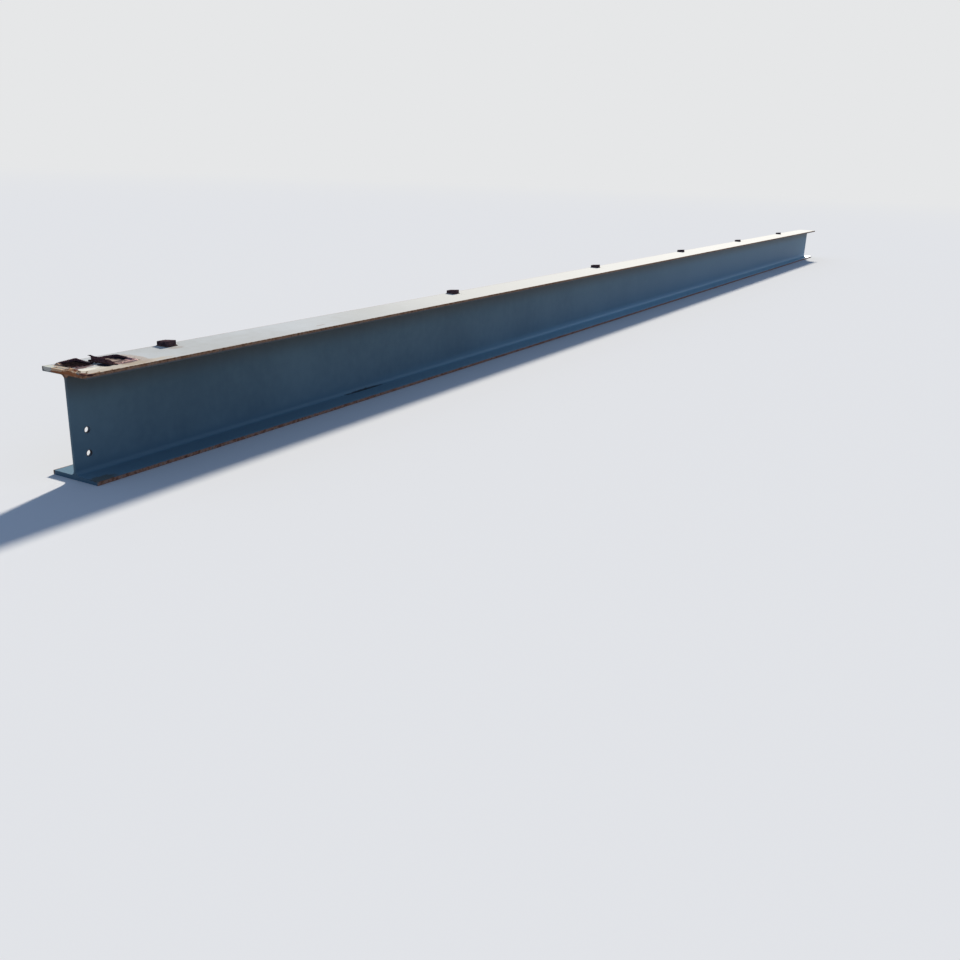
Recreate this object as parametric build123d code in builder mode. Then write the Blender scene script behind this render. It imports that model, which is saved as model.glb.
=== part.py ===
"""A rolled steel girder with torch-cut post stubs and small cleats left on its top flange.

The frame has X along the girder, Y across it and Z up. Its origin is under the middle of the bottom
flange. The near end is at -X, the far edge of the flanges is at +Y.
"""

import os

from build123d import *

os.makedirs("parts", exist_ok=True)

# The rolled section, a 14 in wide-flange beam of 48 lb/ft
section_depth = 350.5
flange_width = 204.0
flange_thickness = 15.1
web_thickness = 8.6
root_radius = 15.1
toe_radius = 2.0
beam_length = 11735.0

# Two bolt holes for 3/4 in bolts through the web at the near end
bolt_hole_diameter = 20.6
bolt_hole_end_distance = 57.0
lower_bolt_hole_height = 76.2
bolt_hole_pitch = 76.2
bolt_hole_count = 2

# Cleats on the far edge of the top flange, each a little lower at that edge
cleat_count = 6
cleat_pitch = 1960.0
first_cleat_distance = 475.0
cleat_length = 40.0
cleat_width = 52.0
cleat_inner_height = 20.0
cleat_edge_height = 15.0
cleat_edge_inset = 2.0
cleat_corner_radius = 1.5
cleat_weld_leg = 5.0

# Tube posts that were welded on the top flange and torch-cut just above it
tube_wall = 4.8
tube_corner_radius = 9.5
post_weld_leg = 5.0
end_post_length = 76.2
end_post_width = 76.2
end_post_distance = 37.0
end_post_offset = 50.0
inner_post_length = 101.6
inner_post_width = 101.6
inner_post_distance = 138.0
inner_post_offset = 4.0

# Each torch cut is a run of stations: how far along the post it is, from 0 to 1, then the height
# that is left of the wall at -Y and of the wall at +Y
end_post_cut = [(0.0, 1.5, 5.0), (1.0, 1.5, 10.0)]
inner_post_cut = [
    (0.0, 14.5, 20.5),
    (0.07, 9.0, 15.0),
    (0.14, 3.5, 7.5),
    (0.22, 1.6, 6.5),
    (1.0, 4.0, 5.5),
]

near_end = -beam_length / 2
flange_top = section_depth


# The girder: flanges and web rolled as one piece, with the root fillets between them
with BuildPart() as wide_flange_beam:
    with BuildSketch(Plane.YZ.offset(near_end)) as section:
        with Locations((0, section_depth / 2)):
            Rectangle(web_thickness, section_depth)
        with Locations((0, flange_thickness / 2), (0, section_depth - flange_thickness / 2)):
            Rectangle(flange_width, flange_thickness)
        corners = section.vertices().group_by(lambda corner: round(abs(corner.X), 3))
        fillet(corners[0], root_radius)
        corners = section.vertices().group_by(lambda corner: round(abs(corner.X), 3))
        fillet(corners[-1], toe_radius)
    extrude(amount=beam_length)
    with Locations(Plane.XZ.offset(web_thickness / 2)):
        pattern_height = lower_bolt_hole_height + bolt_hole_pitch * (bolt_hole_count - 1) / 2
        with Locations((near_end + bolt_hole_end_distance, pattern_height)):
            with GridLocations(0, bolt_hole_pitch, 1, bolt_hole_count):
                Hole(bolt_hole_diameter / 2, depth=web_thickness)
wide_flange_beam.part.label = "wide_flange_beam"
export_step(wide_flange_beam.part, "parts/wide_flange_beam.step")


# A cleat: a short steel block with a fillet weld round its foot
def edge_cleat(centre_x):
    edge_y = flange_width / 2 - cleat_edge_inset
    inner_y = edge_y - cleat_width
    with BuildPart() as cleat:
        with BuildSketch(Plane.YZ.offset(centre_x - cleat_length / 2)):
            with BuildLine():
                Polyline(
                    (inner_y, flange_top),
                    (edge_y, flange_top),
                    (edge_y, flange_top + cleat_edge_height),
                    (inner_y, flange_top + cleat_inner_height),
                    close=True,
                )
            make_face()
        extrude(amount=cleat_length)
        fillet(cleat.faces().sort_by(Axis.Z)[-1].edges(), cleat_corner_radius)
        with BuildSketch(Plane.XY.offset(flange_top)):
            with Locations((centre_x, edge_y - (cleat_width + cleat_weld_leg) / 2)):
                Rectangle(cleat_length + 2 * cleat_weld_leg, cleat_width + cleat_weld_leg)
        extrude(amount=cleat_weld_leg, taper=45)
    return cleat.part


for number in range(1, cleat_count + 1):
    cleat_part = edge_cleat(near_end + first_cleat_distance + (number - 1) * cleat_pitch)
    cleat_part.label = f"edge_cleat_{number}"
    export_step(cleat_part, f"parts/{cleat_part.label}.step")


# A post stub: the tube and its weld, open inside down to the flange, under an uneven torch cut
def post_stub(length, width, near_x, centre_y, cut):
    tallest = max(max(heights) for _, *heights in cut)
    weld_length = length + 2 * post_weld_leg
    weld_width = width + 2 * post_weld_leg
    centre = (near_x + length / 2, centre_y)
    with BuildPart() as stub:
        with BuildSketch(Plane.XY.offset(flange_top)):
            with Locations(centre):
                RectangleRounded(length, width, tube_corner_radius)
        extrude(amount=tallest)
        with BuildSketch(Plane.XY.offset(flange_top)):
            with Locations(centre):
                RectangleRounded(weld_length, weld_width, tube_corner_radius + post_weld_leg)
        extrude(amount=post_weld_leg, taper=45)
        with BuildSketch(Plane.XY.offset(flange_top)):
            with Locations(centre):
                RectangleRounded(
                    length - 2 * tube_wall, width - 2 * tube_wall, tube_corner_radius - tube_wall
                )
        extrude(amount=tallest, mode=Mode.SUBTRACT)
        stations = [(near_x + along * length, low, high) for along, low, high in cut]
        stations.insert(0, (near_x - post_weld_leg, *cut[0][1:]))
        stations.append((near_x + length + post_weld_leg, *cut[-1][1:]))
        for station_x, low, high in stations:
            with BuildSketch(Plane.YZ.offset(station_x)):
                with BuildLine():
                    Polyline(
                        (centre_y - weld_width / 2, flange_top),
                        (centre_y + weld_width / 2, flange_top),
                        (centre_y + weld_width / 2, flange_top + high),
                        (centre_y + width / 2, flange_top + high),
                        (centre_y - width / 2, flange_top + low),
                        (centre_y - weld_width / 2, flange_top + low),
                        close=True,
                    )
                make_face()
        loft(ruled=True, mode=Mode.INTERSECT)
    return stub.part


end_stub = post_stub(
    end_post_length, end_post_width, near_end + end_post_distance, end_post_offset, end_post_cut
)
end_stub.label = "post_stub_end"
export_step(end_stub, "parts/post_stub_end.step")

inner_stub = post_stub(
    inner_post_length, inner_post_width, near_end + inner_post_distance, inner_post_offset, inner_post_cut
)
inner_stub.label = "post_stub_inner"
export_step(inner_stub, "parts/post_stub_inner.step")
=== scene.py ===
import math
import random

import bmesh
import bpy
from mathutils import Matrix, Vector, bvhtree, noise


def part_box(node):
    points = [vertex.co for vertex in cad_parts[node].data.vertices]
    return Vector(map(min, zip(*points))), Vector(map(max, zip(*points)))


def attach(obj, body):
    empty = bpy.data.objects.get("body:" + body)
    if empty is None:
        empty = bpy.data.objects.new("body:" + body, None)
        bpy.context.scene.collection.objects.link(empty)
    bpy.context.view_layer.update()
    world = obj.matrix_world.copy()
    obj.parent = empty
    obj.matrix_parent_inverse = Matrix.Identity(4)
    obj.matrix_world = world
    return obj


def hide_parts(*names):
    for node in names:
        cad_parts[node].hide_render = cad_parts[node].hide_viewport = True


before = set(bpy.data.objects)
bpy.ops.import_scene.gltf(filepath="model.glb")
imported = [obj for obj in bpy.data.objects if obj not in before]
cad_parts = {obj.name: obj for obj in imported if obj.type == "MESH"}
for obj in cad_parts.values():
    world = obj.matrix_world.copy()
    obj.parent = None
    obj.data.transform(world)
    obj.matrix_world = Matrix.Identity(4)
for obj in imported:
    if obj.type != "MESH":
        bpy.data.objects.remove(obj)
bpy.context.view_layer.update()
mm = 0.001
girderLow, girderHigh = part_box("wide_flange_beam")
nearEnd = girderLow.x  # the end with the bolt holes and the post stubs
girderLength = (girderHigh.x - nearEnd) / mm
flangeTop = girderHigh.z
flangeEdge = girderHigh.y
stubNames = ("post_stub_end", "post_stub_inner")
cleatNames = sorted(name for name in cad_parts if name.startswith("edge_cleat"))
boltHoles = {"fromEnd": 57.0, "heights": (76.2, 152.4), "radius": 10.3, "webHalf": 4.3}  # mm
nodeBoxes = [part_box(name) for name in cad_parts]
steelLow = [min(box[0][axis] for box in nodeBoxes) for axis in range(3)]
steelHigh = [max(box[1][axis] for box in nodeBoxes) for axis in range(3)]
random.seed(4)
print("frame loaded,", len(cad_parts), "steel pieces")


# shared helpers

smooth = {"interpolation_type": "SMOOTHSTEP"}  # settings that many nodes share
colourMix = {"data_type": "RGBA"}
goldenTurn = 2.399  # radians from one lump to the next, so that no two face the same way
lumpDents = 1.7  # about how many dents cross half a lump


def linearColour(hexText):
    # sRGB hex to the linear values that the shaders want
    parts = [int(hexText[i:i + 2], 16) / 255 for i in (1, 3, 5)]
    return [p / 12.92 if p <= 0.04045 else ((p + 0.055) / 1.055) ** 2.4 for p in parts] + [1.0]


def addNode(tree, kind, inputs=(), out=None, stops=None, **settings):
    # adds one node, applies its settings, fills or links its inputs, and returns the output asked for
    node = tree.nodes.new("ShaderNode" + kind)
    for name, value in settings.items():
        setattr(node, name, value)
    if stops:
        elements = node.color_ramp.elements
        elements.remove(elements[1])
        elements[0].position = stops[0][0]
        elements[0].color = linearColour(stops[0][1])
        for place, hexText in stops[1:]:
            elements.new(place).color = linearColour(hexText)
    live = [socket for socket in node.inputs if socket.enabled]
    if isinstance(inputs, dict):
        pairs = [(next(s for s in live if s.name == name), value) for name, value in inputs.items()]
    else:
        pairs = list(zip(live, inputs))
    for socket, value in pairs:
        if isinstance(value, bpy.types.NodeSocket):
            tree.links.new(value, socket)
        else:
            socket.default_value = linearColour(value) if isinstance(value, str) else value
    if out:
        return node.outputs[out]
    return next((socket for socket in node.outputs if socket.enabled), None)


def newMaterial(name, **constants):
    # a principled material with its constants on the shader's own sockets
    made = bpy.data.materials.new(name)
    made.use_nodes = True
    shader = made.node_tree.nodes["Principled BSDF"]
    for socket, value in constants.items():
        shader.inputs[socket.replace("_", " ")].default_value = value
    return made, made.node_tree, shader


def patternScale(millimetres):
    # noise scale for features of this real size, in Object coordinates
    return 1000 / millimetres


def spot(x, y, z):
    # a place in mm from the middle of the near end's foot
    return Vector((nearEnd + x * mm, y * mm, z * mm))


def addObject(name, data):
    # a new object at the origin, in the scene's own collection
    made = bpy.data.objects.new(name, data)
    bpy.context.scene.collection.objects.link(made)
    return made


def meshFrom(bm, name):
    # a finished bmesh as a mesh
    mesh = bpy.data.meshes.new(name)
    bm.to_mesh(mesh)
    bm.free()
    return mesh


def addPiece(bm, name, material):
    # turns a finished bmesh into a piece that rides with the girder, kept inside the steel's own box
    bmesh.ops.recalc_face_normals(bm, faces=bm.faces)
    for vert in bm.verts:
        for axis in range(3):
            vert.co[axis] = min(max(vert.co[axis], steelLow[axis]), steelHigh[axis])
    for face in bm.faces:
        face.smooth = True
    piece = addObject(name, meshFrom(bm, name))
    piece.data.materials.append(material)
    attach(piece, "root")
    return piece


def walkPath(corners, radius, step, closed=False):
    # evenly spaced places along straight runs whose corners are rounded off
    rough = []
    for number, corner in enumerate(corners):
        if not closed and number in (0, len(corners) - 1):
            rough.append(corner)
            continue
        before = (corners[number - 1] - corner).normalized() * radius
        after = (corners[(number + 1) % len(corners)] - corner).normalized() * radius
        for share in (0, 0.25, 0.5, 0.75, 1):
            rough.append(corner + before * (1 - share) ** 2 + after * share ** 2)
    if closed:
        rough.append(rough[0])
    total = sum((two - one).length for one, two in zip(rough, rough[1:]))
    step = total / round(total / step)
    places, carried = [], 0.0
    for one, two in zip(rough, rough[1:]):
        length = (two - one).length
        while carried < length - step * 0.01:  # a hair short, so that no place comes twice
            places.append(one.lerp(two, carried / length))
            carried += step
        carried -= length
    return places


def sweepBead(bm, places, radii, closed=False, segments=8):
    # a round bead through these places, with its own radius at each
    loops = []
    last = len(places) - 1
    for number, centre in enumerate(places):
        ahead = places[0 if closed and number == last else min(number + 1, last)]
        behind = places[number - 1 if closed or number else 0]
        turn = (ahead - behind).to_track_quat("Z", "Y").to_matrix().to_4x4()
        ring = bmesh.ops.create_circle(bm, cap_ends=not closed and number in (0, last), segments=segments,
                                       radius=radii[number], matrix=Matrix.Translation(centre) @ turn)
        loops.append({edge for vert in ring["verts"] for edge in vert.link_edges})
    pairs = list(zip(loops, loops[1:])) + ([(loops[-1], loops[0])] if closed else [])
    for one, two in pairs:
        bmesh.ops.bridge_loops(bm, edges=list(one | two))


def beadWander(weld, number, place):
    # how much fatter or thinner a weld bead is here: its ripples, and the welder's unsteady hand
    ripple = 1 + weld["rippleShare"] * math.sin(number * weld["step"] / weld["ripple"] * math.tau)
    return ripple * (1 + weld["strayShare"] * noise.noise(place / (weld["stray"] * mm)))


def addLump(bm, centre, size, seed, rough, fine=2):
    # a blob of frozen steel or scale, its surface pushed in and out
    turn = Matrix.Rotation(seed * goldenTurn, 4, "Z")
    place = Matrix.Translation(centre) @ turn @ Matrix.Diagonal((*size, 1))
    lump = bmesh.ops.create_icosphere(bm, subdivisions=fine, radius=1, matrix=place)
    for vert in lump["verts"]:
        push = noise.noise((vert.co - centre) / max(size) * lumpDents + Vector((seed, 0, 0)))
        vert.co += (vert.co - centre) * push * rough


# camera, at the photograph's viewing angle

cameraView = {
    "fromNearEnd": (-1.8395, -2.4278, 0.9788),  # metres along, across and up from the near end
    "pan": 61.773,  # degrees from across the girder towards its far end
    "tilt": -18.450,
    "roll": 2.327,
    "focalPixels": 934.9,
    "framePixels": 960,
    "sensor": 36.0,
    "clipNear": 0.02,
    "clipFar": 300.0,
}

camera = addObject("camera", bpy.data.cameras.new("camera"))
camera.location = Vector((nearEnd, 0, 0)) + Vector(cameraView["fromNearEnd"])
aim = Matrix.Rotation(math.radians(-cameraView["pan"]), 3, "Z")
aim = aim @ Matrix.Rotation(math.radians(90 + cameraView["tilt"]), 3, "X")
aim = aim @ Matrix.Rotation(math.radians(cameraView["roll"]), 3, "Z")
camera.rotation_euler = aim.to_euler()
camera.data.sensor_width = cameraView["sensor"]
camera.data.lens = cameraView["focalPixels"] / cameraView["framePixels"] * cameraView["sensor"]
camera.data.clip_start = cameraView["clipNear"]
camera.data.clip_end = cameraView["clipFar"]
bpy.context.scene.camera = camera


# pale floor, one soft key lamp low behind the far end, and an even fill

studio = {
    "keyTurn": 14.6,  # degrees from along the girder towards its far side
    "keyHeight": 24.0,
    "keySoftness": 4.5,
    "keyStrength": 6.1,
    "keyColour": (1.0, 0.938, 0.83),
    "fillStrength": 0.365,
    "fillColour": "#b4d2ff",
    "backdrop": "#e6e7e8",
    "floorRadius": 90.0,
    "floorSegments": 96,
    "floorColour": "#e6e6e6",
    "floorBounce": "#928b80",  # what the floor sends back, kept low so that the web stays in shade
    "fadeFrom": 7.0,  # metres from the girder's middle, where the floor starts to fade into the backdrop
    "fadeTo": 60.0,
}

key = addObject("keyLamp", bpy.data.lights.new("keyLamp", "SUN"))
key.data.energy = studio["keyStrength"]
key.data.color = studio["keyColour"]
key.data.angle = math.radians(studio["keySoftness"])
keyTurn = math.radians(studio["keyTurn"])
keyHeight = math.radians(studio["keyHeight"])
towardsKey = Vector((
    math.cos(keyTurn) * math.cos(keyHeight), math.sin(keyTurn) * math.cos(keyHeight), math.sin(keyHeight),
))
key.rotation_euler = towardsKey.to_track_quat("Z", "Y").to_euler()


def seenRay(tree):
    # 1 for rays that show the studio itself, 0 for those that only carry its light
    ray = addNode(tree, "LightPath").node.outputs
    seen = addNode(tree, "Math", [ray["Is Camera Ray"], ray["Is Glossy Ray"]], operation="MAXIMUM")
    return addNode(tree, "Math", [seen, ray["Is Transmission Ray"]], operation="MAXIMUM")


def studioFloor():
    # matt studio floor: pale, with soft shadows, fading into the backdrop far off
    made, tree, shader = newMaterial("matt studio floor")
    tree.nodes.remove(shader)
    seen = seenRay(tree)
    shade = addNode(tree, "Mix", {"Factor": seen, "A": studio["floorBounce"], "B": studio["floorColour"]},
                    **colourMix)
    away = addNode(tree, "VectorMath", [addNode(tree, "TexCoord", out="Object")], out="Value",
                   operation="LENGTH")
    faded = addNode(tree, "MapRange", {"Value": away, "From Min": studio["fadeFrom"],
                                       "From Max": studio["fadeTo"]}, **smooth)
    faded = addNode(tree, "Math", [faded, seen], operation="MULTIPLY")
    plain = addNode(tree, "Emission", [studio["backdrop"], 1.0])
    mixed = addNode(tree, "MixShader", [faded, addNode(tree, "BsdfDiffuse", [shade]), plain])
    tree.links.new(mixed, tree.nodes["Material Output"].inputs["Surface"])
    return made


world = bpy.data.worlds.new("studio")
bpy.context.scene.world = world
world.use_nodes = True
world.node_tree.nodes.clear()
fill = addNode(world.node_tree, "Background", [studio["fillColour"], studio["fillStrength"]])
shown = addNode(world.node_tree, "Background", [studio["backdrop"], 1.0])
lit = addNode(world.node_tree, "MixShader", [seenRay(world.node_tree), fill, shown])
addNode(world.node_tree, "OutputWorld", [lit])

bm = bmesh.new()
bmesh.ops.create_circle(bm, cap_ends=True, segments=studio["floorSegments"], radius=studio["floorRadius"])
floor = addObject("floor", meshFrom(bm, "floor"))
floor.data.materials.append(studioFloor())
bpy.context.scene.view_settings.view_transform = "Standard"
print("camera, lamp and floor set")


# the girder's finish

primer = {
    "slateAndShade": "#7391a1",  # where no sun has chalked it; darker and bluer than the top, partly as painted shade
    "slateDark": "#627f90",
    "mottleShare": 0.35,  # how much each pattern adds to the slow one in the film's tone
    "runsShare": 0.12,
    "toneFrom": 0.5,
    "toneTo": 0.95,
    "shadeEdge": 4.0,  # mm either way from the web's middle, over which its shaded side begins
    "lowSkyShade": "#5e7e92",  # the lower flange and the web's foot, darker and bluer: painted shade, as they lie in the sky's blue shade
    "lowFrom": 62.0,  # mm up, where the web's tone starts to give way to it
    "lowTo": 22.0,
    "chalkAndSunlight": "#c1c5c7",  # the top flange, chalked by the sun, and paler than the web partly as painted light
    "chalkDusty": "#b3b5b3",
    "chalkFrom": 1.6,  # mm under the top face
    "chalkTo": 0.3,
    "shadeUnderTop": "#605c57",  # painted shade: a warm brown darkening of the web under the top flange
    "shadeUnderTopFrom": 120.0,  # mm under the top face
    "shadeUnderTopTo": 20.0,
    "shadeUnderTopMost": 0.65,
    "grit": "#5b646a",
    "gritFrom": 0.64,
    "gritTo": 0.8,
    "gritMost": 0.3,
    "roughness": 0.5,
    "chalkRoughness": 0.86,
    "bareRoughness": 0.95,
    "specular": 0.15,
    "bumpStrength": 0.5,
    "bumpHeight": 0.8,  # mm
    "bareLevel": 0.45,  # of the crumble pattern, where bare steel is level with the film
    "mottleRelief": 0.25,
}
paintedFarLight = {  # how the film changes along the girder, in mm from the near end: painted light, for the sheen and sky reflection that grow farther off
    "slateAndShade": {"tint": "#6b9cbc", "from": 800.0, "to": 8000.0, "most": 0.75},  # painted reflection: bluer farther off, on the shaded side only
    # painted reflection: the lower flange bluer farther off, on the shaded side only
    "low": {"tint": "#8db7ce", "from": 300.0, "to": 5000.0, "most": 1.0},
    # painted highlight: the top paler farther off, for its sheen at grazing angles
    "chalkAndSunlight": {"tint": "#cfcec8", "from": 1000.0, "to": 2600.0, "most": 0.85},
}
primerGrain = {  # feature sizes in mm
    "cloud": {"size": 650.0, "detail": 3, "rough": 0.5},  # slow changes along the length
    "mottle": {"size": 45.0, "detail": 5, "rough": 0.6},  # drifts in the sprayed film
    "speck": {"size": 3.0, "detail": 2, "rough": 0.5},  # grit, drawn coarser than it is so that it shows
    "crumble": {"size": 14.0, "detail": 8, "rough": 0.65},  # the ragged line where the film has let go
    "runs": {"size": 30.0, "detail": 4, "rough": 0.5, "upright": 0.06},  # faint runs down the web
}
toeRust = {  # the first four: where it starts and where it is full, in mm, and how full it gets
    "top": (338.0, 346.0, 1.0),  # up the top flange's toe
    "bottom": (14.0, 10.5, 1.0),  # down the bottom flange's toe
    "bare": (2.4, 0.9, 1.0),  # in from the toe, where the film is gone
    "stained": (7.5, 3.0, 0.4),  # in from the toe, where the rust shows through it
    "ragged": 4.0,  # mm, how far the first two wander
    "creep": 14.0,  # mm, how far the other two wander
    "still": 0.5,  # the crumble pattern's middle, where they stay where they are
    "upper": (150.0, 200.0),  # mm up, between the lower flange's tints and the upper one's
    "sunny": (6.0, 0.5),  # mm under the top face, where the darker tints for faces in the key light start and are full
    "sunnySide": 30.0,  # mm across from the middle, past which the whole lit side takes them
}
toeTints = {
    "low": ("#744c3e", "#b07a62", "#cc9a80", "#dcb59c"),  # red-brown, lightened as painted light because it is seen in shade
    "edge": ("#7d5540", "#b08062", "#cf9f80", "#dfbb9c"),  # tan, under the top flange's rim, lightened as painted light because it is seen in shade
    "high": ("#5c4032", "#806048", "#a07c60", "#c4a68c"),  # the same rust where the key lamp lights it, kept darker than the painted-light tints above
}
toeStops = (0.3, 0.44, 0.56, 0.7)


def topSpot(x, y, halfX, halfY, strength):
    # a mark on the top face: its middle and half size in mm from the near end, and its strength
    return (x, y, flangeTop / mm - 0.5), (halfX, halfY, 6), strength


# marks on the film: a tint, then spots with their middle and half size in mm from the middle of the near
# end's foot, and a strength; what is burnt has no sheen left
insideInnerStub = [topSpot(189, 4, 47, 47, 1.0)]
marks = {
    "dusty": {"tint": "#bfb29f", "spots": [
        topSpot(130, -78, 230, 30, 0.8), topSpot(60, -62, 70, 42, 0.85)]},
    "trodden": {"tint": "#aa9c89", "spots": [topSpot(215, -72, 62, 22, 0.85)]},
    "warmed": {"tint": "#b1a499", "spots": [topSpot(260, -5, 28, 84, 0.85)]},
    "heated": {"tint": "#a59f93", "burnt": True, "spots": [
        ((15, 38, 349), (24, 26, 8), 1.0), topSpot(125, 24, 16, 48, 0.6)]},
    "limed": {"tint": "#c9ccbe", "spots": [topSpot(9, 82, 15, 19, 0.9)]},
    # painted light: pale patches that lighten the film where the stub walls cast shadow
    "paleInWallShadow": {"tint": "#dcc0a4", "burnt": True, "spots": [
        topSpot(30, 40, 8, 24, 1.0), topSpot(29, 68, 9, 20, 1.0), topSpot(126, 36, 9, 14, 0.9)]},
    # painted light: near-white on the shaded end face, standing in for light that it catches
    "pale": {"tint": "#f0ecdf", "spots": [((0, 78, 345), (3, 21, 8), 0.95)]},
    # painted light: tan rust on the end face's upper half, made far paler for light that it catches
    "litEndTan": {"tint": "#ffd8b0", "square": True, "spots": [((0, 4, 346.4), (3, 55, 4.4), 0.95)]},
    # partly sun-bleached film, partly painted highlight: near-white where the top shows glare
    "bleachAndGlare": {"tint": "#e9e4d6", "spots": [
        topSpot(52, -42, 30, 14, 1.0), topSpot(82, -38, 16, 8, 0.7),
        topSpot(33, -31, 9, 8, 1.0), topSpot(75, -56, 36, 12, 0.35)]},
    # painted light: a warm near-white patch where the stub's wall casts shadow, standing in for sunlight
    "paintedSunPatch": {"tint": "#fff0d8", "spots": [topSpot(107, -9, 10, 10, 1.0)]},
    "mauve": {"tint": "#77605e", "burnt": True, "spots": [
        topSpot(50, -8, 26, 13, 1.0), topSpot(82, -5, 24, 9, 1.0)]},
    "reddened": {"tint": "#8f776d", "burnt": True, "spots": [
        topSpot(194, -56, 34, 6, 0.9), topSpot(244, -26, 12, 32, 0.5)]},
    # burnt film, darkened further as painted shadow at the foot of the stub walls and beside the first cleat
    "sootAndShadow": {"tint": "#2b2833", "burnt": True, "spots": [
        topSpot(124, -28, 19, 27, 1.0), topSpot(150, -52, 6, 8, 0.9),
        topSpot(74, 8, 46, 7, 1.0), topSpot(465, 44, 26, 5, 0.6)]},
    "stubInside": {"tint": "#aa978a", "burnt": True, "square": True, "spots": insideInnerStub},
    "dimmed": {"tint": "#6e5d5d", "burnt": True, "spots": [
        topSpot(222, -12, 36, 14, 1.0), topSpot(186, -18, 13, 12, 0.9)]},
    # painted shade: near-black on the inner stub's floor, in and beyond the far walls' shadow
    "shadeOnStubFloor": {"tint": "#1e1c26", "burnt": True, "within": insideInnerStub, "spots": [
        topSpot(240, 31, 43, 51, 1.0), topSpot(144, 4, 12, 60, 0.9)]},
    # painted light: pale pink that lightens the floor in the far wall's shadow
    "pinkInWallShadow": {"tint": "#d0a39f", "burnt": True, "spots": [topSpot(233, -20, 14, 16, 1.0)]},
    "streaked": {"tint": "#4a3537", "burnt": True, "spots": [
        topSpot(174, -12, 10, 9, 1.0), topSpot(186, 34, 7, 12, 0.8), topSpot(198, -39, 6, 4, 0.8)]},
    # a soft dark streak along the lower fillet
    "darkStreak": {"tint": "#2c3a45", "spots": [((1520, -16, 18), (160, 7, 8), 1.0)]},
    "scuffed": {"tint": "#8a6f58", "spots": [
        topSpot(1175, -50, 34, 5, 0.6), topSpot(468, 22, 34, 16, 0.35)]},
    "worn": {"tint": "#59605f", "spots": [((30, -88, 15), (50, 26, 6), 0.9)]},
    "farFace": {"tint": "#7d8a8e", "square": True, "spots": [
        ((girderLength + 2, 0, 175), (4, 130, 220), 1.0)]},
}
bareSpots = [  # where the film is gone altogether
    ((girderLength, -58, 344), (5, 34, 8), 0.9), ((girderLength, 71, 6), (5, 30, 7), 0.9),
    ((girderLength, 0, 96), (5, 8, 42), 0.8), ((1, -87, 347), (6, 17, 9), 1.0),
    ((0, -18, 337), (5, 72, 9), 1.0), ((30, 101, 12), (60, 5, 8), 1.0),
    topSpot(12, -18, 16, 33, 0.9), topSpot(22, -99, 30, 5, 0.9),
]
burns = {  # marks on the rust and on the scale under the film
    "scorched": {"tint": "#7d573c", "spots": [
        topSpot(13, -17, 15, 26, 0.6), topSpot(9, -40, 8, 9, 0.8), topSpot(24, 13, 9, 6, 0.7)]},
    "charred": {"tint": "#62372c", "spots": [
        topSpot(20, -25, 10, 7, 1.0), topSpot(25, -20, 7, 6, 0.9), topSpot(15, -29, 7, 6, 0.9)]},
    "baked": {"tint": "#c29c74", "spots": [topSpot(28, 0, 8, 7, 0.9)]},
    "maroon": {"tint": "#70504f", "spots": [topSpot(6, -85, 7, 19, 0.8)]},
    "lipRust": {"tint": "#c77c50", "spots": [
        ((0, -22, 343), (3, 44, 6), 0.85), ((0, 36, 340), (3, 30, 3.5), 0.8)]},
    "scaled": {"tint": "#855d53", "spots": [((-1, -82, 349), (7, 17, 6), 1.0)]},
    "edgeScale": {"tint": "#54383a", "spots": [((13, -102, 347.4), (18, 4, 3), 0.9)]},
    # rust scale in the bolt holes, darkened also as painted shade inside the bores
    "holeScaleAndShade": {"tint": "#2b1d1b", "spots": [
        ((boltHoles["fromEnd"], 0, height), (10.5, 90, 10.5), 1.0) for height in boltHoles["heights"]]},
    # near-black under the scale piece: burnt scale, and painted shade inside the end stub
    "underCrustAndShade": {"tint": "#120d0e", "square": True, "spots": [((75, 50, 350), (34, 34, 4), 1.0)]},
}
markEdges = {  # in half sizes: how far the outline wanders, where it lies, and how soft it is
    "round": {"wander": 1.4, "outline": 1.65, "soft": 0.2},
    "square": {"wander": 0.2, "outline": 1.12, "soft": 0.03},
}


def markMask(tree, coords, ragged, spots, square=False):
    # each spot's strength inside it, with a torn outline, and 0 away from all of them
    edge = markEdges["square" if square else "round"]
    total = None
    for centre, size, strength in spots:
        moved = addNode(tree, "VectorMath", [coords, spot(*centre)], operation="SUBTRACT")
        scaled = addNode(tree, "VectorMath", [moved, Vector(size) * mm], operation="DIVIDE")
        if square:
            part = addNode(tree, "VectorMath", [scaled], operation="ABSOLUTE")
            part = addNode(tree, "SeparateXYZ", [part]).node.outputs
            far = addNode(tree, "Math", [part["X"], part["Y"]], operation="MAXIMUM")
            far = addNode(tree, "Math", [far, part["Z"]], operation="MAXIMUM")
        else:
            far = addNode(tree, "VectorMath", [scaled], out="Value", operation="LENGTH")
        far = addNode(tree, "Math", [ragged, edge["wander"], far], operation="MULTIPLY_ADD")
        inside = addNode(tree, "MapRange", {"Value": far, "From Min": edge["outline"] + edge["soft"],
                                            "From Max": edge["outline"] - edge["soft"],
                                            "To Max": strength}, **smooth)
        total = inside if total is None else addNode(tree, "Math", [total, inside], operation="MAXIMUM")
    return total


def addMark(tree, coords, ragged, colour, mark):
    # lays one mark over a colour, and returns the new colour and where the mark is
    mask = markMask(tree, coords, ragged, mark["spots"], mark.get("square", False))
    if "within" in mark:
        fence = markMask(tree, coords, ragged, mark["within"], True)
        mask = addNode(tree, "Math", [mask, fence], operation="MINIMUM")
    return addNode(tree, "Mix", {"Factor": mask, "A": colour, "B": mark["tint"]}, **colourMix), mask


def changeAlong(tree, place, colour, change, mask=None):
    # turns a colour into another one along the girder
    gone = addNode(tree, "MapRange", {"Value": place["X"], "From Min": nearEnd + change["from"] * mm,
                                      "From Max": nearEnd + change["to"] * mm,
                                      "To Max": change["most"]}, **smooth)
    if mask is not None:
        gone = addNode(tree, "Math", [gone, mask], operation="MULTIPLY")
    return addNode(tree, "Mix", {"Factor": gone, "A": colour, "B": change["tint"]}, **colourMix)


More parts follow.
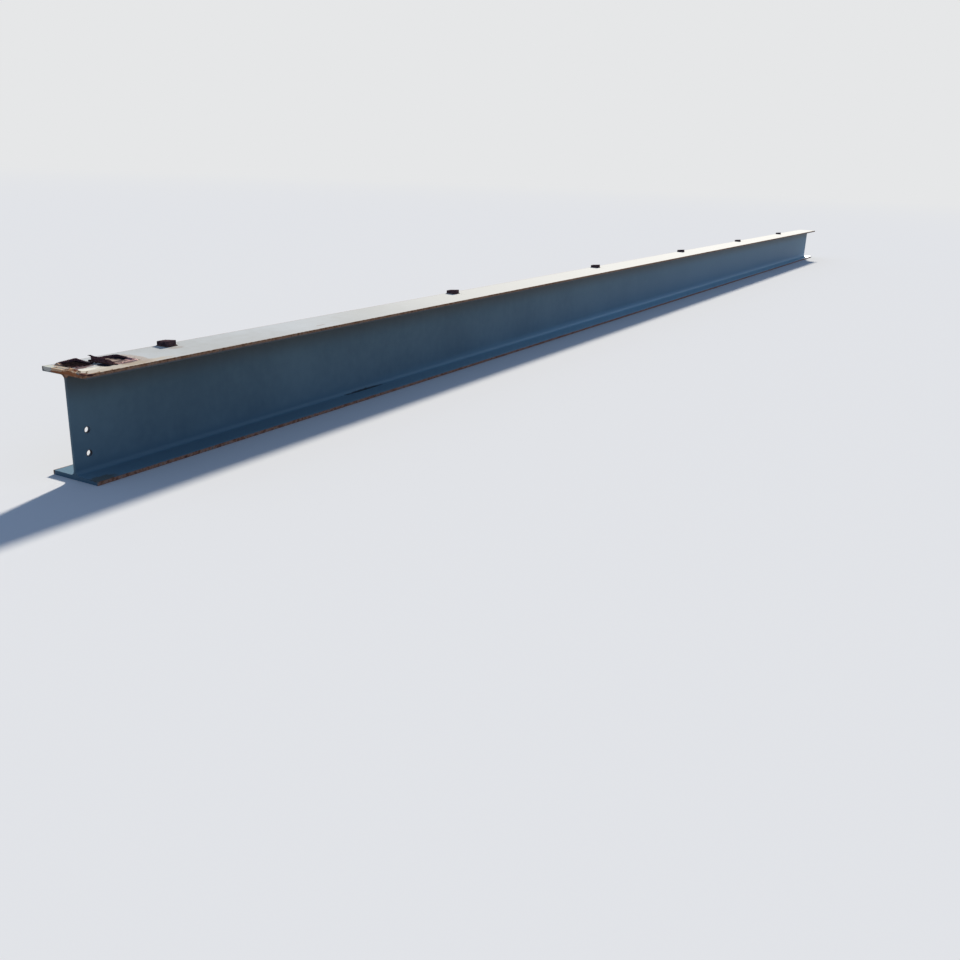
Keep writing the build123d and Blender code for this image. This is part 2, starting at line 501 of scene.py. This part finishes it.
def filmColour(tree, place, grain):
    # grey-blue on the web and the lower flange, darker partly as painted shade, and a chalky film on the top
    # flange, paler partly as painted light; returns that, and where the top is
    tone = addNode(tree, "Math", [grain["mottle"], primer["mottleShare"], grain["cloud"]],
                   operation="MULTIPLY_ADD")
    tone = addNode(tree, "Math", [grain["runs"], primer["runsShare"], tone], operation="MULTIPLY_ADD")
    tone = addNode(tree, "MapRange", {"Value": tone, "From Min": primer["toneFrom"],
                                      "From Max": primer["toneTo"]}, **smooth)
    shadeSide = addNode(tree, "MapRange", {"Value": place["Y"], "From Min": primer["shadeEdge"] * mm,
                                           "From Max": -primer["shadeEdge"] * mm})
    slateAndShade = addNode(tree, "Mix", {"Factor": tone, "A": primer["slateDark"], "B": primer["slateAndShade"]},
                    **colourMix)
    slateAndShade = changeAlong(tree, place, slateAndShade, paintedFarLight["slateAndShade"], shadeSide)
    chalkAndSunlight = addNode(tree, "Mix", {"Factor": tone, "A": primer["chalkDusty"], "B": primer["chalkAndSunlight"]},
                    **colourMix)
    chalkAndSunlight = changeAlong(tree, place, chalkAndSunlight, paintedFarLight["chalkAndSunlight"])

    shadeUnderTopMask = addNode(tree, "MapRange", {"Value": place["Z"], "From Min": flangeTop - primer["shadeUnderTopFrom"] * mm,
                                      "From Max": flangeTop - primer["shadeUnderTopTo"] * mm,
                                      "To Max": primer["shadeUnderTopMost"]}, **smooth)
    slateAndShade = addNode(tree, "Mix", {"Factor": shadeUnderTopMask, "A": slateAndShade, "B": primer["shadeUnderTop"]}, **colourMix)
    down = addNode(tree, "MapRange", {"Value": place["Z"], "From Min": primer["lowFrom"] * mm,
                                      "From Max": primer["lowTo"] * mm}, **smooth)
    low = changeAlong(tree, place, primer["lowSkyShade"], paintedFarLight["low"], shadeSide)
    slateAndShade = addNode(tree, "Mix", {"Factor": down, "A": slateAndShade, "B": low}, **colourMix)
    onTop = addNode(tree, "MapRange", {"Value": place["Z"], "From Min": flangeTop - primer["chalkFrom"] * mm,
                                       "From Max": flangeTop - primer["chalkTo"] * mm}, **smooth)
    film = addNode(tree, "Mix", {"Factor": onTop, "A": slateAndShade, "B": chalkAndSunlight}, **colourMix)
    grit = addNode(tree, "MapRange", {"Value": grain["speck"], "From Min": primer["gritFrom"],
                                      "From Max": primer["gritTo"], "To Max": primer["gritMost"]}, **smooth)
    return addNode(tree, "Mix", {"Factor": grit, "A": film, "B": primer["grit"]}, **colourMix), onTop


def toeRustOver(tree, coords, place, crumble, film):
    # rust at the flange toes, creeping in under the film; returns the colour and where the film is gone
    across = addNode(tree, "Math", [place["Y"]], operation="ABSOLUTE")
    toToe = addNode(tree, "Math", [flangeEdge, across], operation="SUBTRACT")
    torn = addNode(tree, "Math", [crumble, toeRust["still"]], operation="SUBTRACT")
    inwards = addNode(tree, "Math", [torn, toeRust["creep"] * mm, toToe], operation="MULTIPLY_ADD")
    height = addNode(tree, "Math", [torn, toeRust["ragged"] * mm, place["Z"]], operation="MULTIPLY_ADD")
    reach = {}
    for part, value in (("top", height), ("bottom", height), ("bare", inwards), ("stained", inwards)):
        start, full, most = toeRust[part]
        reach[part] = addNode(tree, "MapRange", {"Value": value, "From Min": start * mm,
                                                 "From Max": full * mm, "To Max": most}, **smooth)
    toes = addNode(tree, "Math", [reach["top"], reach["bottom"]], operation="MAXIMUM")
    stained = addNode(tree, "Math", [reach["stained"], toes], operation="MULTIPLY")
    film = addNode(tree, "Mix", {"Factor": stained, "A": film, "B": toeTints["high"][2]}, **colourMix)
    bare = addNode(tree, "Math", [reach["bare"], toes], operation="MULTIPLY")
    bare = addNode(tree, "Math", [bare, markMask(tree, coords, crumble, bareSpots)], operation="MAXIMUM")

    rusts = {part: addNode(tree, "ValToRGB", [crumble], stops=list(zip(toeStops, tints)))
             for part, tints in toeTints.items()}
    start, full = toeRust["upper"]
    upper = addNode(tree, "MapRange", {"Value": place["Z"], "From Min": start * mm, "From Max": full * mm})
    rust = addNode(tree, "Mix", {"Factor": upper, "A": rusts["low"], "B": rusts["edge"]}, **colourMix)
    # painted light: faces in the key light take the darker tints, faces in shade the lighter ones
    start, full = toeRust["sunny"]
    sunny = addNode(tree, "MapRange", {"Value": height, "From Min": flangeTop - start * mm,
                                       "From Max": flangeTop - full * mm}, **smooth)
    farSide = addNode(tree, "MapRange", {"Value": place["Y"], "From Min": 0.0,
                                         "From Max": toeRust["sunnySide"] * mm})
    sunny = addNode(tree, "Math", [sunny, farSide], operation="MAXIMUM")
    rust = addNode(tree, "Mix", {"Factor": sunny, "A": rust, "B": rusts["high"]}, **colourMix)
    return addNode(tree, "Mix", {"Factor": bare, "A": film, "B": rust}, **colourMix), bare


def sprayedPrimer():
    # grey-blue alkyd primer sprayed on rolled steel: a dull satin film, chalky on top, rusting at its edges;
    # its colours carry painted light and shade too
    made, tree, shader = newMaterial("weathered alkyd primer")
    coords = addNode(tree, "TexCoord", out="Object")
    place = addNode(tree, "SeparateXYZ", [coords]).node.outputs
    grain = {}
    for name, pattern in primerGrain.items():
        stretched = coords
        if "upright" in pattern:
            stretched = addNode(tree, "Mapping", {"Vector": coords, "Scale": (1.0, 1.0, pattern["upright"])})
        grain[name] = addNode(tree, "TexNoise", {"Vector": stretched, "Scale": patternScale(pattern["size"]),
                                                 "Detail": pattern["detail"], "Roughness": pattern["rough"]})

    colour, onTop = filmColour(tree, place, grain)
    dull = None  # where the film has no sheen
    for mark in marks.values():
        colour, mask = addMark(tree, coords, grain["crumble"], colour, mark)
        if "burnt" in mark:
            dull = mask if dull is None else addNode(tree, "Math", [dull, mask], operation="MAXIMUM")
    colour, bare = toeRustOver(tree, coords, place, grain["crumble"], colour)
    for burn in burns.values():
        colour, mask = addMark(tree, coords, grain["crumble"], colour, burn)
        bare = addNode(tree, "Math", [bare, mask], operation="MAXIMUM")
    tree.links.new(colour, shader.inputs["Base Color"])

    rough = addNode(tree, "MapRange", {"Value": onTop, "To Min": primer["roughness"],
                                       "To Max": primer["chalkRoughness"]})
    dull = addNode(tree, "Math", [dull, bare], operation="MAXIMUM")
    rough = addNode(tree, "Mix", {"Factor": dull, "A": rough, "B": primer["bareRoughness"]},
                    data_type="FLOAT")
    tree.links.new(rough, shader.inputs["Roughness"])
    sheen = addNode(tree, "MapRange", {"Value": dull, "To Min": primer["specular"], "To Max": 0.0})
    tree.links.new(sheen, shader.inputs["Specular IOR Level"])

    relief = addNode(tree, "Math", [grain["crumble"], primer["bareLevel"]], operation="SUBTRACT")
    relief = addNode(tree, "Math", [relief, bare], operation="MULTIPLY")
    relief = addNode(tree, "Math", [grain["mottle"], primer["mottleRelief"], relief],
                     operation="MULTIPLY_ADD")
    bump = addNode(tree, "Bump", {"Strength": primer["bumpStrength"], "Distance": primer["bumpHeight"] * mm,
                                  "Height": relief})
    tree.links.new(bump, shader.inputs["Normal"])
    return made


# bare and rusted steel

rustFinishes = {  # the real one's name, tints from its deepest pits up, its scale's size and relief in mm
    # even brown-black scale on sheared bar
    "cleat": ("weathered rusty bar", ("#352a31", "#4c3c42", "#644d50", "#7f6159"), 16, 1.0),
    # redder and lumpier, where the torch has melted the wall
    "cut": ("torch-cut rusty tube", ("#4c3638", "#6c4f53", "#835d5d", "#a07464"), 9, 1.4),
    # dark, glassy beads that have rusted over
    "slag": ("frozen cutting slag", ("#35272b", "#4a353a", "#5e4144", "#7d574f"), 6, 0.8),
    # nearly black sheets of oxide, kept this dark also as painted shade inside the end stub
    "crust": ("burnt mill scale and painted shade", ("#161213", "#1e1819", "#281e1e", "#342523"), 12, 0.6),
    # warmer and finer than the bar beside it
    "weld": ("rusted weld metal", ("#38231f", "#573a33", "#7c5849", "#9c7c69"), 5, 0.5),
    # brown under chalky grey
    "flake": ("lifted paint and rust flakes", ("#6b4a3a", "#a38468", "#c9b79d", "#d9d2c2"), 12, 0.4),
}
rustStops = (0.3, 0.45, 0.58, 0.72)
rustPits = {"smaller": 6, "share": 0.4, "strength": 0.8}  # pits are this many times smaller than the scale

# marks on the rust, as on the film
rustMarks = {
    "ground": {"tint": "#c9a299", "spots": [((208, -50, 352), (52, 9, 9), 1.0)]},
    # painted light: pale pink that lightens the far wall's shaded inner face
    "paleOnShadedWall": {"tint": "#cba7a2", "spots": [((240, -26, 354), (11, 27, 9), 1.0)]},
    "lifted": {"tint": "#f0c8bc", "spots": [((230, -47, 352), (15, 12, 9), 0.8)]},
    # painted light: pale tan that lightens the end stub's shaded near wall and weld
    "paleOnNearWall": {"tint": "#d6b598", "spots": [
        ((31, 46, 351), (6, 44, 3.5), 1.0), ((37, 74, 352), (7, 15, 5), 1.0)]},
    # burnt, and darkened further as painted shade on the end stub's near walls and inside it
    "singedAndShaded": {"tint": "#241a1c", "spots": [
        ((43, 38, 353), (11, 28, 9), 1.0), ((76, 19, 353), (42, 12, 9), 1.0),
        ((94, 10, 352), (22, 8, 8), 1.0)]},
    "tanned": {"tint": "#c9a27c", "spots": [((32, 2, 351), (6, 12, 4), 0.9)]},
}


def scaledRust(name, tints, coarseSize, relief):
    # mild steel left bare outdoors: dull and pitted, brown-black scale under red-brown rust
    made, tree, shader = newMaterial(name, Roughness=0.95, Specular_IOR_Level=0.0)
    coords = addNode(tree, "TexCoord", out="Object")
    coarse = addNode(tree, "TexNoise", {"Vector": coords, "Scale": patternScale(coarseSize), "Detail": 8,
                                        "Roughness": 0.65})
    colour = addNode(tree, "ValToRGB", [coarse], stops=list(zip(rustStops, tints)))
    for mark in rustMarks.values():
        colour = addMark(tree, coords, coarse, colour, mark)[0]
    tree.links.new(colour, shader.inputs["Base Color"])
    pits = addNode(tree, "TexVoronoi", {"Vector": coords,
                                        "Scale": patternScale(coarseSize / rustPits["smaller"])})
    height = addNode(tree, "Math", [pits, rustPits["share"], coarse], operation="MULTIPLY_ADD")
    bump = addNode(tree, "Bump", {"Strength": rustPits["strength"], "Distance": relief * mm,
                                  "Height": height})
    tree.links.new(bump, shader.inputs["Normal"])
    return made


rusty = {part: scaledRust(*finish) for part, finish in rustFinishes.items()}
for nodeName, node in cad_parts.items():
    node.material_slots[0].material = rusty["cleat"]
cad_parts["wide_flange_beam"].material_slots[0].material = sprayedPrimer()
print("finishes made")


# post stubs, cut off with a torch: the same solids with a melted skin

stubSkin = {
    "grain": 1.1,  # mm between the points of the new skin
    "lumps": 0.9,  # mm, how far the melt stands in and out
    "lumpSize": 7.0,
    "foot": 1.5,  # mm above the flange that stay as they are
}
skinOctaves = (0.8, 2.1, 3)  # how fast the finer lumps fade, how much finer each is, and how many


def roughCopy(nodeName, material, grain, lumps, lumpSize, foot):
    # the CAD solid with its skin remade fine enough to be pushed in and out
    bm = bmesh.new()
    bm.from_mesh(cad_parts[nodeName].data)
    bmesh.ops.remove_doubles(bm, verts=bm.verts, dist=0.01 * mm)
    draft = addObject("draft", meshFrom(bm, "draft"))
    remesh = draft.modifiers.new("remesh", "REMESH")
    remesh.mode = "VOXEL"
    remesh.voxel_size = grain * mm
    skin = bpy.data.meshes.new_from_object(draft.evaluated_get(bpy.context.evaluated_depsgraph_get()))
    bm = bmesh.new()
    bm.from_mesh(skin)
    bpy.data.objects.remove(draft)
    bpy.data.meshes.remove(skin)
    bm.normal_update()
    for vert in bm.verts:
        above = min(max((vert.co.z - flangeTop) / (foot * mm), 0), 1)
        push = noise.fractal(vert.co / (lumpSize * mm), *skinOctaves)
        vert.co += vert.normal * push * lumps * mm * above
    piece = addPiece(bm, nodeName + "_skin", material)
    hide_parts(nodeName)


for nodeName in stubNames:
    roughCopy(nodeName, rusty["cut"], **stubSkin)
print("post stubs skinned")


# welds round the stubs, and what the torch left: dross and drips on the rims, slag on the flange

stubWeld = {
    "leg": 5.0,  # mm, as the model has it
    "wall": 4.8,
    "corner": 9.5,
    "outside": 1.3,  # mm from the wall to the bead's middle
    "level": 1.2,
    "radius": 2.8,
    "wallShare": 0.62,  # of the wall's height, the most that the bead's radius may be
    "proudShare": 0.4,  # of that radius, how far the bead's middle is above the flange
    "middleShare": 0.7,  # of the outer corner, the corner on the wall's middle line
    "step": 0.8,
    "ripple": 3.2,  # mm from one ripple to the next
    "rippleShare": 0.08,
    "stray": 9.0,  # mm, the slower changes of its radius
    "strayShare": 0.25,
}
dross = {
    "spacing": 4.2,  # mm along the rim
    "least": 0.9,
    "most": 1.9,
    "lowWall": 4.2,  # mm; a wall lower than this has smaller lumps
    "lowShare": 0.4,
    "nudge": 1.6,  # mm off the wall's middle line
    "sunk": 0.3,  # shares of a lump's size: how deep it sits, how narrow it may be, and its height
    "narrow": 0.6,
    "high": 0.7,
    "rough": 0.5,
}
drips = {
    "spacing": 3.1,
    "inset": 0.2,  # mm into the wall
    "leastWall": 9.0,  # mm of wall that it takes to carry a drip
    "chance": 0.5,
    "length": (0.25, 0.7),  # as a share of the wall's height
    "radius": (0.7, 1.3),
    "profile": ((0, 0.9), (0.3, 0.7), (0.6, 0.75), (0.85, 1.15), (1.0, 0.6)),  # down it, and how thick
}
slag = {
    "lumps": [
        ((132, 50, 353), (4, 3, 3)), ((119, 23, 352), (6, 5, 2.5)), ((126, 12, 351.5), (3.5, 3, 1.6)),
        ((113, 30, 351.5), (3, 2.4, 1.6)), ((176, -45, 352), (3, 2.5, 2.2)),
        ((196, -38, 351.3), (4, 2.5, 1.2)),
    ],
    "lumpRough": 0.6,
    "lumpSeed": 20,
    "crumbs": 70,
    "crumbRun": (118, 262),  # mm from the near end
    "crumbMiddle": 2.0,  # mm across, the line between the two rows that the crumbs fall in
    "crumbRows": (41.4, 10.8),  # mm from that line, and how far they stray
    "crumbLevel": 350.6,  # mm up
    "crumbSize": (0.5, 1.5),
    "crumbHigh": 0.6,  # a crumb's height as a share of its size
    "crumbRough": 0.5,
}
horn = {  # the thread of melt that froze at the tallest corner
    "path": [
        (142, 51.5, 366.5), (139.5, 52.3, 368), (136.5, 53, 369), (133.5, 53.3, 369.7), (130.5, 53.5, 370),
    ],
    "radii": [3.0, 2.5, 1.8, 1.1, 0.4],
}
rimBead = {  # what the cut left proud on the far walls
    "path": [(150, 52.2, 357.5), (237, 52.2, 356.5), (237, 0, 355.3)],
    "corner": 6.0,
    "step": 1.2,
    "radius": 1.7,
    "stray": 7.0,
    "strayShare": 0.45,
}


def outerFace(nodeName, inset, height):
    # corners of the tube's wall, this far in from its outer face
    low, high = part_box(nodeName)
    gap = (stubWeld["leg"] + inset) * mm
    z = flangeTop + height * mm
    return [Vector((low.x + gap, low.y + gap, z)), Vector((high.x - gap, low.y + gap, z)),
            Vector((high.x - gap, high.y - gap, z)), Vector((low.x + gap, high.y - gap, z))]


def wallTops(nodeName):
    # places along the wall's middle line, each with how much of the wall is left there
    solid = bmesh.new()
    solid.from_mesh(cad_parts[nodeName].data)
    surface = bvhtree.BVHTree.FromBMesh(solid)
    solid.free()
    tops = []
    corner = stubWeld["corner"] * stubWeld["middleShare"] * mm
    for place in walkPath(outerFace(nodeName, stubWeld["wall"] / 2, 0), corner, dross["spacing"] * mm, True):
        above = Vector((place.x, place.y, flangeTop + 0.1))
        hit = surface.ray_cast(above, Vector((0, 0, -1)))[0]
        tops.append((place, max(hit.z - flangeTop, 0) if hit else 0.0))
    return tops


def heightNear(walls, place):
    # how much of the wall is left nearest to this place
    return min(walls, key=lambda wall: (wall[0].xy - place.xy).length)[1]


def weldStub(bm, nodeName, walls):
    # the weld round a stub, thinner where the cut came down to it
    places = walkPath(outerFace(nodeName, -stubWeld["outside"], stubWeld["level"]), stubWeld["corner"] * mm,
                      stubWeld["step"] * mm, True)
    radii = []
    for number, place in enumerate(places):
        radius = min(stubWeld["radius"] * mm, heightNear(walls, place) * stubWeld["wallShare"])
        radii.append(radius * beadWander(stubWeld, number, place))
        place.z = flangeTop + radii[-1] * stubWeld["proudShare"]
    sweepBead(bm, places, radii, closed=True)


def addDross(bm, walls):
    # beads of melt along the rim
    stray = dross["nudge"]
    for number, (place, height) in enumerate(walls):
        size = random.uniform(dross["least"], dross["most"]) * mm
        if height < dross["lowWall"] * mm:
            size *= dross["lowShare"]
        nudge = Vector((random.uniform(-stray, stray), random.uniform(-stray, stray), 0)) * mm
        top = Vector((place.x, place.y, flangeTop + height - size * dross["sunk"]))
        lump = (size, size * random.uniform(dross["narrow"], 1), size * dross["high"])
        addLump(bm, top + nudge, lump, number, dross["rough"])


def addDrips(bm, nodeName, walls):
    # runs of melt down the outside, where the wall still stands
    face = outerFace(nodeName, drips["inset"], 0)
    for place in walkPath(face, stubWeld["corner"] * mm, drips["spacing"] * mm, True):
        height = heightNear(walls, place)
        if height < drips["leastWall"] * mm or random.random() > drips["chance"]:
            continue
        long = random.uniform(*drips["length"]) * height
        radius = random.uniform(*drips["radius"]) * mm
        line = [place + Vector((0, 0, height - down * long)) for down, thick in drips["profile"]]
        sweepBead(bm, line, [radius * thick for down, thick in drips["profile"]], segments=6)


welds = bmesh.new()
rims = bmesh.new()
for nodeName in stubNames:
    walls = wallTops(nodeName)
    weldStub(welds, nodeName, walls)
    addDross(rims, walls)
    addDrips(rims, nodeName, walls)
sweepBead(rims, [spot(*point) for point in horn["path"]], [radius * mm for radius in horn["radii"]])
places = walkPath([spot(*point) for point in rimBead["path"]], rimBead["corner"] * mm, rimBead["step"] * mm)
radii = [rimBead["radius"] * mm * (1 + rimBead["strayShare"] * noise.noise(place / (rimBead["stray"] * mm)))
         for place in places]
sweepBead(rims, places, radii)
for number, (centre, size) in enumerate(slag["lumps"]):
    addLump(rims, spot(*centre), Vector(size) * mm, number + slag["lumpSeed"], slag["lumpRough"], 3)
for number in range(slag["crumbs"]):
    along = random.uniform(*slag["crumbRun"])
    across = random.choice((-1, 1)) * random.gauss(*slag["crumbRows"]) + slag["crumbMiddle"]
    where = spot(along, across, slag["crumbLevel"])
    size = random.uniform(*slag["crumbSize"]) * mm
    addLump(rims, where, (size, size, size * slag["crumbHigh"]), number, slag["crumbRough"], 1)
addPiece(welds, "stub_welds", rusty["weld"])
addPiece(rims, "cutting_dross", rusty["slag"])
print("stub welds and dross made")


# scale that has blistered up inside the end stub

crust = {
    "cells": 64,
    "underWall": 0.8,  # mm that it reaches under the wall
    "height": 0.9,
    "relief": 1.3,
    "blister": 11.0,  # mm
    "wrinkle": 5.0,
    "wrinkleShare": 0.5,
    "thickness": 0.6,
}
crustOctaves = (0.7, 2.2, 5)

low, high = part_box("post_stub_end")
middle = Vector(((low.x + high.x) / 2, (low.y + high.y) / 2, flangeTop))
halfSize = (high.x - low.x) / 2 - (stubWeld["leg"] + stubWeld["wall"] - crust["underWall"]) * mm
bm = bmesh.new()
bmesh.ops.create_grid(bm, x_segments=crust["cells"], y_segments=crust["cells"], size=halfSize,
                      matrix=Matrix.Translation(middle))
for vert in bm.verts:
    blister = noise.fractal(vert.co / (crust["blister"] * mm), *crustOctaves)
    blister += crust["wrinkleShare"] * abs(noise.noise(vert.co / (crust["wrinkle"] * mm)))
    vert.co.z += (crust["height"] + crust["relief"] * blister) * mm
bmesh.ops.solidify(bm, geom=bm.faces, thickness=crust["thickness"] * mm)
addPiece(bm, "stub_floor_scale", rusty["crust"])
print("stub scale made")


# cleats, sheared from bar and left to rust

cleatSkin = {
    "grain": 1.3,
    "lumps": 0.45,
    "lumpSize": 5.0,
    "foot": 1.0,
}
cleatWeld = {
    "leg": 5.0,  # mm, as the model has it
    "outside": 1.2,
    "level": 1.1,
    "stopShort": 3.0,  # mm from the flange's edge, where it ends
    "corner": 3.0,
    "radius": 2.7,
    "step": 0.8,
    "ripple": 2.6,
    "rippleShare": 0.09,
    "stray": 8.0,
    "strayShare": 0.2,
}

bm = bmesh.new()
for nodeName in cleatNames:
    roughCopy(nodeName, rusty["cleat"], **cleatSkin)
    low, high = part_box(nodeName)
    gap = (cleatWeld["leg"] - cleatWeld["outside"]) * mm
    stop = high.y - cleatWeld["stopShort"] * mm
    z = flangeTop + cleatWeld["level"] * mm
    corners = [Vector((low.x + gap, stop, z)), Vector((low.x + gap, low.y + gap, z)),
               Vector((high.x - gap, low.y + gap, z)), Vector((high.x - gap, stop, z))]
    places = walkPath(corners, cleatWeld["corner"] * mm, cleatWeld["step"] * mm)
    radii = [cleatWeld["radius"] * mm * beadWander(cleatWeld, number, place)
             for number, place in enumerate(places)]
    sweepBead(bm, places, radii)
addPiece(bm, "cleat_welds", rusty["weld"])
print(len(cleatNames), "cleats skinned and welded")


# spatter from welding and cutting, stuck to the top flange

spatter = {
    "stubMiddles": ((75, 40), (189, 0)),  # mm along and across
    "atStub": 45,
    "atCleat": 16,
    "nearest": 15.0,  # mm from the middle
    "reach": 45.0,
    "acrossShare": 0.6,  # the reach across the flange, as a share of the reach along it
    "margin": 3.0,  # mm kept clear along the flange's edge
    "least": 0.35,
    "most": 1.0,
    "proud": 0.3,  # shares of a drop's size: how far its middle is above the face, and its height
    "high": 0.8,
    "rough": 0.2,
}

bm = bmesh.new()
centres = [(spot(*middle, flangeTop / mm), spatter["atStub"]) for middle in spatter["stubMiddles"]]
for nodeName in cleatNames:
    low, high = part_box(nodeName)
    centres.append((Vector(((low.x + high.x) / 2, low.y, flangeTop)), spatter["atCleat"]))
for centre, count in centres:
    for number in range(count):
        turn = random.uniform(0, math.tau)
        reach = abs(random.gauss(0, 1)) * spatter["reach"] * mm + spatter["nearest"] * mm
        across = math.sin(turn) * reach * spatter["acrossShare"]
        where = centre + Vector((math.cos(turn) * reach, across, 0))
        size = random.uniform(spatter["least"], spatter["most"]) * mm
        margin = spatter["margin"] * mm
        if abs(where.y) < flangeEdge - margin and where.x > nearEnd + margin:
            drop = where + Vector((0, 0, size * spatter["proud"]))
            addLump(bm, drop, (size, size, size * spatter["high"]), number, spatter["rough"], 1)
addPiece(bm, "weld_spatter", rusty["weld"])
print("spatter made")


# flakes of paint and rust that the torch lifted at the near end

flakes = {
    "cells": 12,
    "thickness": 0.5,
    "rounding": 0.28,  # how far the corners are drawn in
    "tear": 0.22,  # how far the outline is torn in and out
    "tearScale": 2.3,
    "wave": 0.25,
    "waveScale": 3.0,
    "held": 0.3,  # in half sizes back from the middle, where a flake starts to lift
    "stiff": 0.6,  # the share of its curl and wave that it keeps
    "clear": 0.15,  # mm
    "level": 350.6,  # mm up
    "spots": [  # middle along and across in mm, size, turn in degrees, lift
        ((7, -56), (9, 13), 10, 2.6), ((5, -30), (7, 10), -20, 1.8), ((6, -5), (8, 9), 35, 1.6),
        ((9, -84), (8, 9), -12, 1.7), ((24, -72), (9, 7), 60, 1.2), ((26, -8), (10, 6), 15, 1.5),
        ((8, 20), (9, 7), -40, 1.2), ((28, 8), (6, 6), 80, 1.4), ((14, -42), (8, 6), 120, 1.3),
        ((46, -95), (10, 5), 5, 1.0), ((92, -97), (12, 4), -4, 0.9), ((12, 52), (7, 9), 70, 1.0),
    ],
}

bm = bmesh.new()
for number, (middle, size, degrees, lift) in enumerate(flakes["spots"]):
    place = Matrix.Translation(spot(*middle, flakes["level"]))
    place = place @ Matrix.Rotation(math.radians(degrees), 4, "Z")
    sheet = bmesh.ops.create_grid(bm, x_segments=flakes["cells"], y_segments=flakes["cells"], size=1)
    for vert in sheet["verts"]:
        rounded = 1 - flakes["rounding"] * (vert.co.x * vert.co.y) ** 2
        torn = Vector((vert.co.x, vert.co.y, number)) * flakes["tearScale"]
        torn = 1 + flakes["tear"] * noise.noise(torn)
        wave = noise.noise(vert.co * flakes["waveScale"] + Vector((0, 0, number)))
        curl = max(vert.co.x + flakes["held"], 0) ** 2 * lift + flakes["wave"] * wave
        flat = Vector((vert.co.x * size[0] / 2, vert.co.y * size[1] / 2, 0)) * rounded * torn
        raised = curl * flakes["stiff"] + flakes["clear"]
        vert.co = place @ Vector((flat.x * mm, flat.y * mm, raised * mm))
    faces = {face for vert in sheet["verts"] for face in vert.link_faces}
    bmesh.ops.solidify(bm, geom=list(faces), thickness=flakes["thickness"] * mm)
addPiece(bm, "lifted_flakes", rusty["flake"])
print("flakes made")


# burrs round the bolt holes

burr = {
    "radius": 0.7,
    "steps": 72,
    "stray": 4.0,
    "strayShare": 0.5,
}

bm = bmesh.new()
turns = [number / burr["steps"] * math.tau for number in range(burr["steps"])]
reach = boltHoles["radius"] * mm
for height in boltHoles["heights"]:
    for side in (-1, 1):
        middle = spot(boltHoles["fromEnd"], side * boltHoles["webHalf"], height)
        places = [middle + Vector((math.cos(turn) * reach, 0, math.sin(turn) * reach)) for turn in turns]
        radii = [burr["radius"] * mm * (1 + burr["strayShare"] * noise.noise(place / (burr["stray"] * mm)))
                 for place in places]
        sweepBead(bm, places, radii, closed=True, segments=6)
addPiece(bm, "hole_burrs", rusty["weld"])
print("hole burrs made")
